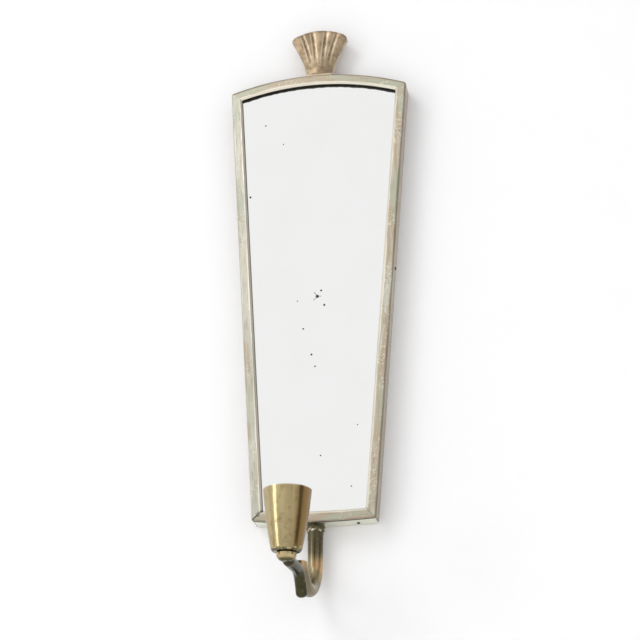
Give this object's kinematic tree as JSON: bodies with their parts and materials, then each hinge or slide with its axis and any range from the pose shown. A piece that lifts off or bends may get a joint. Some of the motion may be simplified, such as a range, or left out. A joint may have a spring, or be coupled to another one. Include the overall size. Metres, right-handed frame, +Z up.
{
  "type": "girandole mirror",
  "caption": "Small tapering wall mirror with an arched top, a fluted palmette finial and a candle cup on a swivelling hooked arm under its bottom rail.",
  "frame": {"origin": "centre of the hanger eye, in the plane of the wall", "axes": "+Z up, +Y into the wall, +X to the right as seen from the room"},
  "size_m": [0.1178, 0.0914, 0.3941],
  "materials": {
    "frame_metal": "worn silvered patina, satin",
    "mirror": "aged silvering, polished",
    "paper": "matt brown paper",
    "board_wood": "bare old softwood",
    "nail_metal": "tarnished",
    "finial_bronze": "worn gilt bronze, satin",
    "steel": "dull, slightly rusted",
    "arm_bronze": "dark olive-brown patina, satin",
    "cup_brass": "aged satin brass"
  },
  "bodies": {
    "mirror": {"frame_top_rail": "frame_metal", "frame_left_rail": "frame_metal", "frame_right_rail": "frame_metal", "frame_bottom_rail": "frame_metal", "mirror_glass": "mirror", "packing_paper": "paper", "back_board": "board_wood", "frame_nails": "nail_metal", "finial": "finial_bronze", "finial_screw": "steel", "hanger_plate": "steel", "hanger_screws": "steel"},
    "arm": {"arm_collar": "arm_bronze", "arm_main": "arm_bronze", "arm_stud": "steel", "arm_washer": "steel", "arm_nut": "steel", "arm_scroll": "arm_bronze", "arm_braze": "arm_bronze", "cup_boss": "arm_bronze", "candle_cup": "cup_brass", "cup_screw": "cup_brass"}
  },
  "joints": [
    {"name": "arm_swivel", "type": "hinge", "parent": "mirror", "child": "arm", "pos_m": [0, -0.0056, -0.2716], "axis": [0, 0, 1], "range_deg": [-75, 75]}
  ]
}
